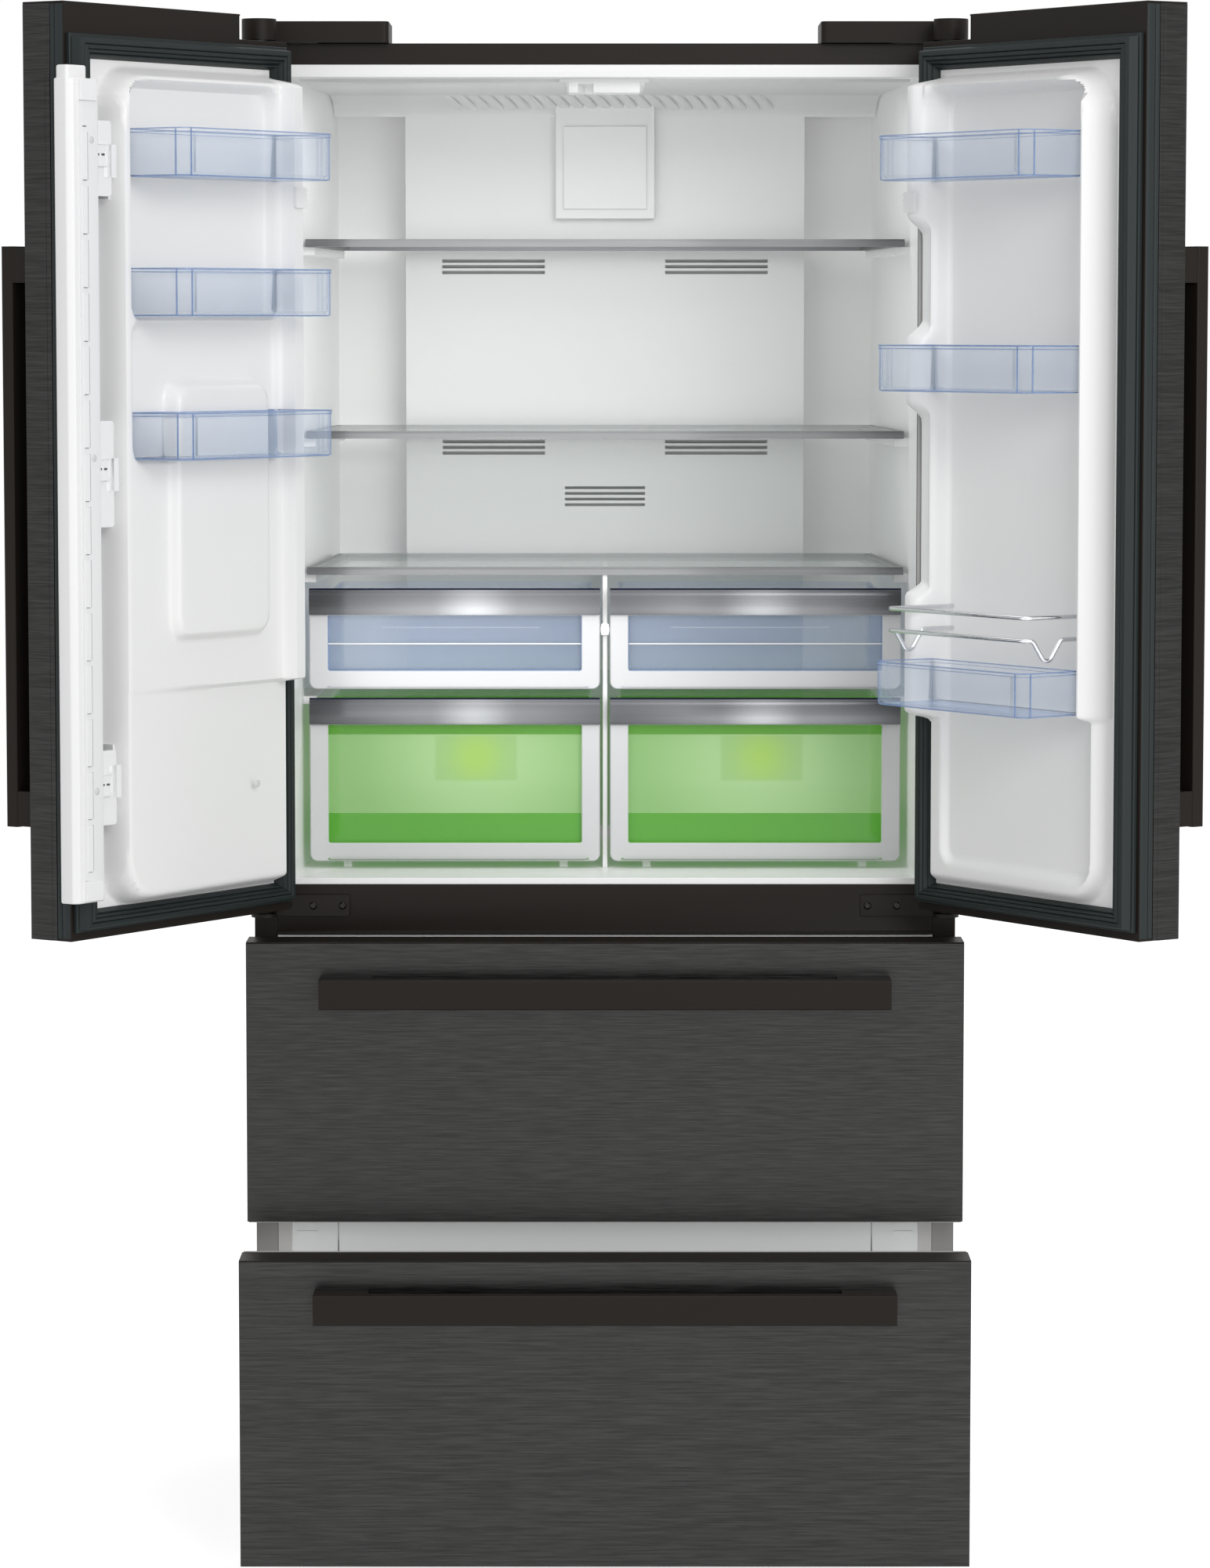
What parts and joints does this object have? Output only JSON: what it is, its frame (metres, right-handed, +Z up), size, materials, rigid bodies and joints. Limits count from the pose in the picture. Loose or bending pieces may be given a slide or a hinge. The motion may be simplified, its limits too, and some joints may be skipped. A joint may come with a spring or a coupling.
{
  "type": "american fridge freezer",
  "caption": "Free-standing fridge freezer with two side-hinged fridge doors over sliding freezer drawers, with glass shelves, inner drawers, door balconies and a flipper bar.",
  "frame": {"origin": "on the floor, at the middle of the footprint with the doors and the lower drawer open as at rest", "axes": "+Z up, -Y towards the person in front of the fridge, +X to that person's right"},
  "size_m": [1.3324, 1.0874, 1.8183],
  "materials": {
    "black_plastic": "fine matt",
    "bright_wire": "plated",
    "cabinet_paint": "satin",
    "clear_blue": "clear, slightly blue",
    "clear_drawer": "clear",
    "coil_aluminium": "mill finish",
    "compressor_paint": "gloss black",
    "dark_cap": "satin",
    "dark_handle": "satin",
    "dark_hinge": "satin",
    "dark_steel": "brushed, dark charcoal, grain running across",
    "foam": "closed cell foam",
    "gasket_rubber": "soft matt",
    "grey_plastic": "satin",
    "lamp_cover": "milky",
    "pale_plastic": "satin",
    "screw_steel": "bright",
    "shelf_glass": "clear toughened",
    "shelf_trim": "satin",
    "white_liner": "glossy moulded",
    "zinc_steel": "zinc plated"
  },
  "bodies": {
    "cabinet": {"cabinet_shell": "cabinet_paint", "back_panel": "zinc_steel", "base_frame": "zinc_steel", "cabinet_insulation": "foam", "fridge_liner": "white_liner", "freezer_liner": "white_liner", "front_beam": "cabinet_paint", "freezer_crossbar": "pale_plastic", "duct_panel": "white_liner", "duct_cover": "white_liner", "freezer_rear_panel": "white_liner", "fan_motor": "black_plastic", "interior_lamps": "lamp_cover", "flipper_guide": "white_liner", "top_shelf_glass": "shelf_glass", "middle_shelf_glass": "shelf_glass", "lower_shelf_glass": "shelf_glass", "shelf_frames": "shelf_trim", "drawer_divider": "white_liner", "crisper_cover": "shelf_glass", "top_hinges": "zinc_steel", "bottom_hinges": "dark_hinge", "hinge_covers": "dark_cap", "hinge_screws": "screw_steel", "compressor": "compressor_paint", "condenser": "coil_aluminium", "evaporator": "coil_aluminium", "rear_grille": "black_plastic", "feet": "black_plastic", "freezer_runners": "pale_plastic"},
    "fan": {"evaporator_fan": "black_plastic"},
    "left_door": {"left_door_skin": "dark_steel", "left_door_body": "dark_cap", "left_door_liner": "white_liner", "left_door_gasket": "gasket_rubber", "left_door_handle": "dark_handle", "left_balconies": "clear_blue", "flipper_hinges": "grey_plastic"},
    "flipper": {"flipper": "grey_plastic"},
    "right_door": {"right_door_skin": "dark_steel", "right_door_body": "dark_cap", "right_door_liner": "white_liner", "right_door_gasket": "gasket_rubber", "right_door_handle": "dark_handle", "right_balconies": "clear_blue", "bottle_rail": "bright_wire"},
    "upper_drawer": {"upper_drawer_skin": "dark_steel", "upper_drawer_body": "dark_cap", "upper_drawer_gasket": "gasket_rubber", "upper_drawer_handle": "dark_handle", "upper_bin": "white_liner"},
    "lower_drawer": {"lower_drawer_skin": "dark_steel", "lower_drawer_body": "dark_cap", "lower_drawer_gasket": "gasket_rubber", "lower_drawer_handle": "dark_handle", "lower_bin": "white_liner"},
    "left_chill": {"left_chill_drawer": "clear_drawer"},
    "right_chill": {"right_chill_drawer": "clear_drawer"},
    "left_crisper_box": {"left_crisper": "clear_drawer"},
    "right_crisper_box": {"right_crisper": "clear_drawer"}
  },
  "joints": [
    {"name": "left_door_hinge", "type": "hinge", "parent": "cabinet", "child": "left_door", "pos_m": [-0.3994, -0.14314, 1.3], "axis": [0, 0, 1], "range_deg": [-8, 124.1]},
    {"name": "right_door_hinge", "type": "hinge", "parent": "cabinet", "child": "right_door", "pos_m": [0.3994, -0.14314, 1.3], "axis": [0, 0, -1], "range_deg": [-8, 124.1]},
    {"name": "flipper_hinge", "type": "hinge", "parent": "left_door", "child": "flipper", "pos_m": [-0.54745, -0.4872, 1.3], "axis": [0, 0, -1], "range_deg": [-90, 0]},
    {"name": "upper_drawer_slide", "type": "slide", "parent": "cabinet", "child": "upper_drawer", "axis": [0, 1, 0], "range_m": [-0.4, 0]},
    {"name": "lower_drawer_slide", "type": "slide", "parent": "cabinet", "child": "lower_drawer", "axis": [0, 1, 0], "range_m": [-0.18, 0.1498]},
    {"name": "fan_spin", "type": "hinge", "parent": "cabinet", "child": "fan", "pos_m": [0, 0.44066, 1.66], "axis": [0, 1, 0], "continuous": true},
    {"name": "left_chill_slide", "type": "slide", "parent": "cabinet", "child": "left_chill", "axis": [0, 1, 0], "range_m": [-0.2, 0]},
    {"name": "right_chill_slide", "type": "slide", "parent": "cabinet", "child": "right_chill", "axis": [0, 1, 0], "range_m": [-0.2, 0]},
    {"name": "left_crisper_slide", "type": "slide", "parent": "cabinet", "child": "left_crisper_box", "axis": [0, 1, 0], "range_m": [-0.2, 0]},
    {"name": "right_crisper_slide", "type": "slide", "parent": "cabinet", "child": "right_crisper_box", "axis": [0, 1, 0], "range_m": [-0.2, 0]}
  ]
}
